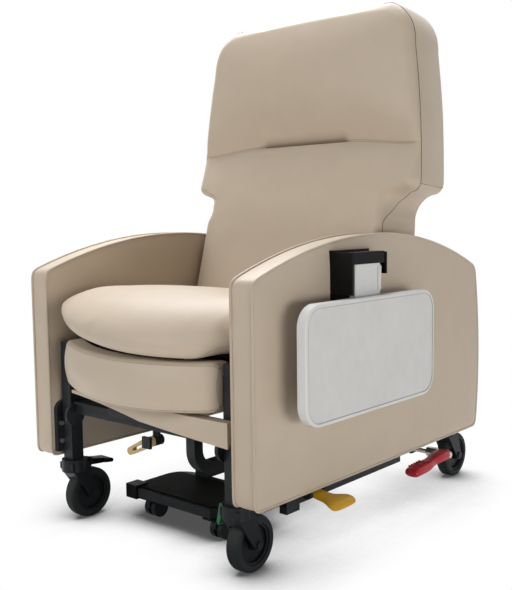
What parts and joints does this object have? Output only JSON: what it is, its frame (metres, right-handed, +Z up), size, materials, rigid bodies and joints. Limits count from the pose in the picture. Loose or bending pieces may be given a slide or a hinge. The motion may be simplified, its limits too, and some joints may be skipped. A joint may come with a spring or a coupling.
{
  "type": "clinical recliner",
  "caption": "Padded treatment recliner on swivelling casters, with sliding leg rest, folding side tray, foot platform, brake pedals and a winged high back.",
  "frame": {"origin": "on the floor, in the middle of the whole outline seen from above", "axes": "+Z up, -Y the way the sitter faces, +X the sitter's left, where the tray is"},
  "size_m": [0.813, 1.1052, 1.3049],
  "materials": {
    "upholstery": "matt grained vinyl",
    "frame_paint": "dark slate powder coat",
    "board": "raw plywood",
    "black_plastic": "matt moulded plastic",
    "grey_plastic": "fine textured plastic",
    "tyre_rubber": "smooth dark grey rubber",
    "mat_rubber": "ribbed black rubber",
    "zinc": "zinc plated",
    "yellow": "yellow moulded plastic",
    "red": "red moulded plastic",
    "green": "green moulded plastic",
    "tan": "tan moulded plastic",
    "skirt": "beige moulded panel"
  },
  "bodies": {
    "chair": {"front_frame": "frame_paint", "rear_frame": "frame_paint", "side_rails": "frame_paint", "keel_tube": "frame_paint", "seat_frame": "frame_paint", "seat_board": "board", "seat_cushion": "upholstery", "front_skirt": "skirt", "left_arm": "upholstery", "right_arm": "upholstery", "arm_boards": "board", "arm_brackets": "frame_paint", "frame_bolts": "zinc", "side_channel": "frame_paint", "tray_bracket": "black_plastic", "gas_cylinder": "zinc", "leg_guides": "frame_paint", "platform_guides": "frame_paint", "lever_hub": "frame_paint"},
    "back": {"back_cushion": "upholstery", "back_cover": "upholstery", "back_frame": "frame_paint"},
    "spring_rod": {"gas_rod": "zinc"},
    "leg_slide": {"leg_carriage": "frame_paint"},
    "leg_rest": {"leg_pad": "upholstery", "leg_board": "board"},
    "tray": {"tray_top": "grey_plastic", "tray_face": "grey_plastic", "tray_neck": "grey_plastic", "tray_hinge": "black_plastic"},
    "latch": {"tray_latch": "grey_plastic"},
    "platform": {"foot_platform": "black_plastic", "platform_mat": "mat_rubber", "platform_rails": "frame_paint", "platform_clips": "black_plastic"},
    "red_rocker": {"red_pedal": "red", "brake_shaft": "zinc"},
    "yellow_lever": {"yellow_pedal": "yellow"},
    "release_lever": {"tan_lever": "tan"},
    "front_left_swivel": {"front_left_fork": "black_plastic"},
    "front_left_roller": {"front_left_wheel": "black_plastic", "front_left_tyre": "tyre_rubber"},
    "front_left_pedal": {"steer_pedal": "green"},
    "front_right_swivel": {"front_right_fork": "black_plastic"},
    "front_right_roller": {"front_right_wheel": "black_plastic", "front_right_tyre": "tyre_rubber"},
    "front_right_pedal": {"front_right_brake_pedal": "black_plastic"},
    "rear_left_swivel": {"rear_left_fork": "black_plastic"},
    "rear_left_roller": {"rear_left_wheel": "black_plastic", "rear_left_tyre": "tyre_rubber"},
    "rear_left_pedal": {"rear_left_brake_pedal": "black_plastic"},
    "rear_right_swivel": {"rear_right_fork": "black_plastic"},
    "rear_right_roller": {"rear_right_wheel": "black_plastic", "rear_right_tyre": "tyre_rubber"},
    "rear_right_pedal": {"rear_right_brake_pedal": "black_plastic"},
    "right_twin_swivel": {"right_twin_hood": "black_plastic"},
    "right_twin_roller": {"right_twin_wheels": "black_plastic"},
    "left_twin_swivel": {"left_twin_hood": "black_plastic"},
    "left_twin_roller": {"left_twin_wheels": "black_plastic"}
  },
  "joints": [
    {"name": "back_recline", "type": "hinge", "parent": "chair", "child": "back", "pos_m": [-0.0375, 0.15925, 0.443], "axis": [-1, 0, 0], "range_deg": [0, 60]},
    {"name": "gas_rod_slide", "type": "slide", "parent": "chair", "child": "spring_rod", "axis": [0, -1, 0], "range_m": [0, 0.075]},
    {"name": "leg_extend", "type": "slide", "parent": "chair", "child": "leg_slide", "axis": [0, -0.9806, -0.1961], "range_m": [0, 0.22]},
    {"name": "leg_lift", "type": "hinge", "parent": "leg_slide", "child": "leg_rest", "pos_m": [-0.0375, -0.41775, 0.448], "axis": [-1, 0, 0], "range_deg": [0, 85]},
    {"name": "tray_swing", "type": "hinge", "parent": "chair", "child": "tray", "pos_m": [0.3705, -0.15675, 0.664], "axis": [0, -1, 0], "range_deg": [0, 90]},
    {"name": "tray_latch_turn", "type": "hinge", "parent": "tray", "child": "latch", "pos_m": [0.3705, -0.09875, 0.64], "axis": [0, 1, 0], "range_deg": [0, 20]},
    {"name": "platform_slide", "type": "slide", "parent": "chair", "child": "platform", "axis": [0, -1, 0], "range_m": [0, 0.12]},
    {"name": "red_pedal_rock", "type": "hinge", "parent": "chair", "child": "red_rocker", "pos_m": [0.3135, 0.30625, 0.114], "axis": [1, 0, 0], "range_deg": [-12, 12]},
    {"name": "yellow_pedal_press", "type": "hinge", "parent": "chair", "child": "yellow_lever", "pos_m": [0.3165, -0.26575, 0.155], "axis": [0, 1, 0], "range_deg": [0, 15]},
    {"name": "release_lever_turn", "type": "hinge", "parent": "chair", "child": "release_lever", "pos_m": [-0.0075, -0.45255, 0.253], "axis": [0, 1, 0], "range_deg": [0, 30]},
    {"name": "front_left_swivel_turn", "type": "hinge", "parent": "chair", "child": "front_left_swivel", "pos_m": [0.2385, -0.43675, 0.16], "axis": [0, 0, 1], "continuous": true},
    {"name": "front_left_wheel_roll", "type": "hinge", "parent": "front_left_swivel", "child": "front_left_roller", "pos_m": [0.2385, -0.39475, 0.0625], "axis": [1, 0, 0], "continuous": true},
    {"name": "front_left_pedal_press", "type": "hinge", "parent": "front_left_swivel", "child": "front_left_pedal", "pos_m": [0.19903, -0.42239, 0.142], "axis": [-0.342, -0.9397, 0], "range_deg": [0, 10]},
    {"name": "front_right_swivel_turn", "type": "hinge", "parent": "chair", "child": "front_right_swivel", "pos_m": [-0.3135, -0.43675, 0.16], "axis": [0, 0, 1], "continuous": true},
    {"name": "front_right_wheel_roll", "type": "hinge", "parent": "front_right_swivel", "child": "front_right_roller", "pos_m": [-0.3135, -0.39475, 0.0625], "axis": [1, 0, 0], "continuous": true},
    {"name": "front_right_pedal_press", "type": "hinge", "parent": "front_right_swivel", "child": "front_right_pedal", "pos_m": [-0.3135, -0.39475, 0.142], "axis": [-1, 0, 0], "range_deg": [0, 10]},
    {"name": "rear_left_swivel_turn", "type": "hinge", "parent": "chair", "child": "rear_left_swivel", "pos_m": [0.2385, 0.44625, 0.16], "axis": [0, 0, 1], "continuous": true},
    {"name": "rear_left_wheel_roll", "type": "hinge", "parent": "rear_left_swivel", "child": "rear_left_roller", "pos_m": [0.2385, 0.48825, 0.0625], "axis": [1, 0, 0], "continuous": true},
    {"name": "rear_left_pedal_press", "type": "hinge", "parent": "rear_left_swivel", "child": "rear_left_pedal", "pos_m": [0.2385, 0.48825, 0.142], "axis": [-1, 0, 0], "range_deg": [0, 10]},
    {"name": "rear_right_swivel_turn", "type": "hinge", "parent": "chair", "child": "rear_right_swivel", "pos_m": [-0.3135, 0.44625, 0.16], "axis": [0, 0, 1], "continuous": true},
    {"name": "rear_right_wheel_roll", "type": "hinge", "parent": "rear_right_swivel", "child": "rear_right_roller", "pos_m": [-0.3135, 0.48825, 0.0625], "axis": [1, 0, 0], "continuous": true},
    {"name": "rear_right_pedal_press", "type": "hinge", "parent": "rear_right_swivel", "child": "rear_right_pedal", "pos_m": [-0.3135, 0.48825, 0.142], "axis": [-1, 0, 0], "range_deg": [0, 10]},
    {"name": "right_twin_swivel_turn", "type": "hinge", "parent": "platform", "child": "right_twin_swivel", "pos_m": [-0.1755, -0.30175, 0.06], "axis": [0, 0, 1], "continuous": true},
    {"name": "right_twin_wheel_roll", "type": "hinge", "parent": "right_twin_swivel", "child": "right_twin_roller", "pos_m": [-0.1755, -0.28775, 0.024], "axis": [1, 0, 0], "continuous": true},
    {"name": "left_twin_swivel_turn", "type": "hinge", "parent": "platform", "child": "left_twin_swivel", "pos_m": [0.0605, -0.30775, 0.06], "axis": [0, 0, 1], "continuous": true},
    {"name": "left_twin_wheel_roll", "type": "hinge", "parent": "left_twin_swivel", "child": "left_twin_roller", "pos_m": [0.0605, -0.29375, 0.024], "axis": [1, 0, 0], "continuous": true}
  ],
  "couplings": [
    {"joint": "gas_rod_slide", "follows": "back_recline", "m_per_rad": 0.07161},
    {"joint": "leg_lift", "follows": "leg_extend", "rad_per_m": 6.743}
  ]
}
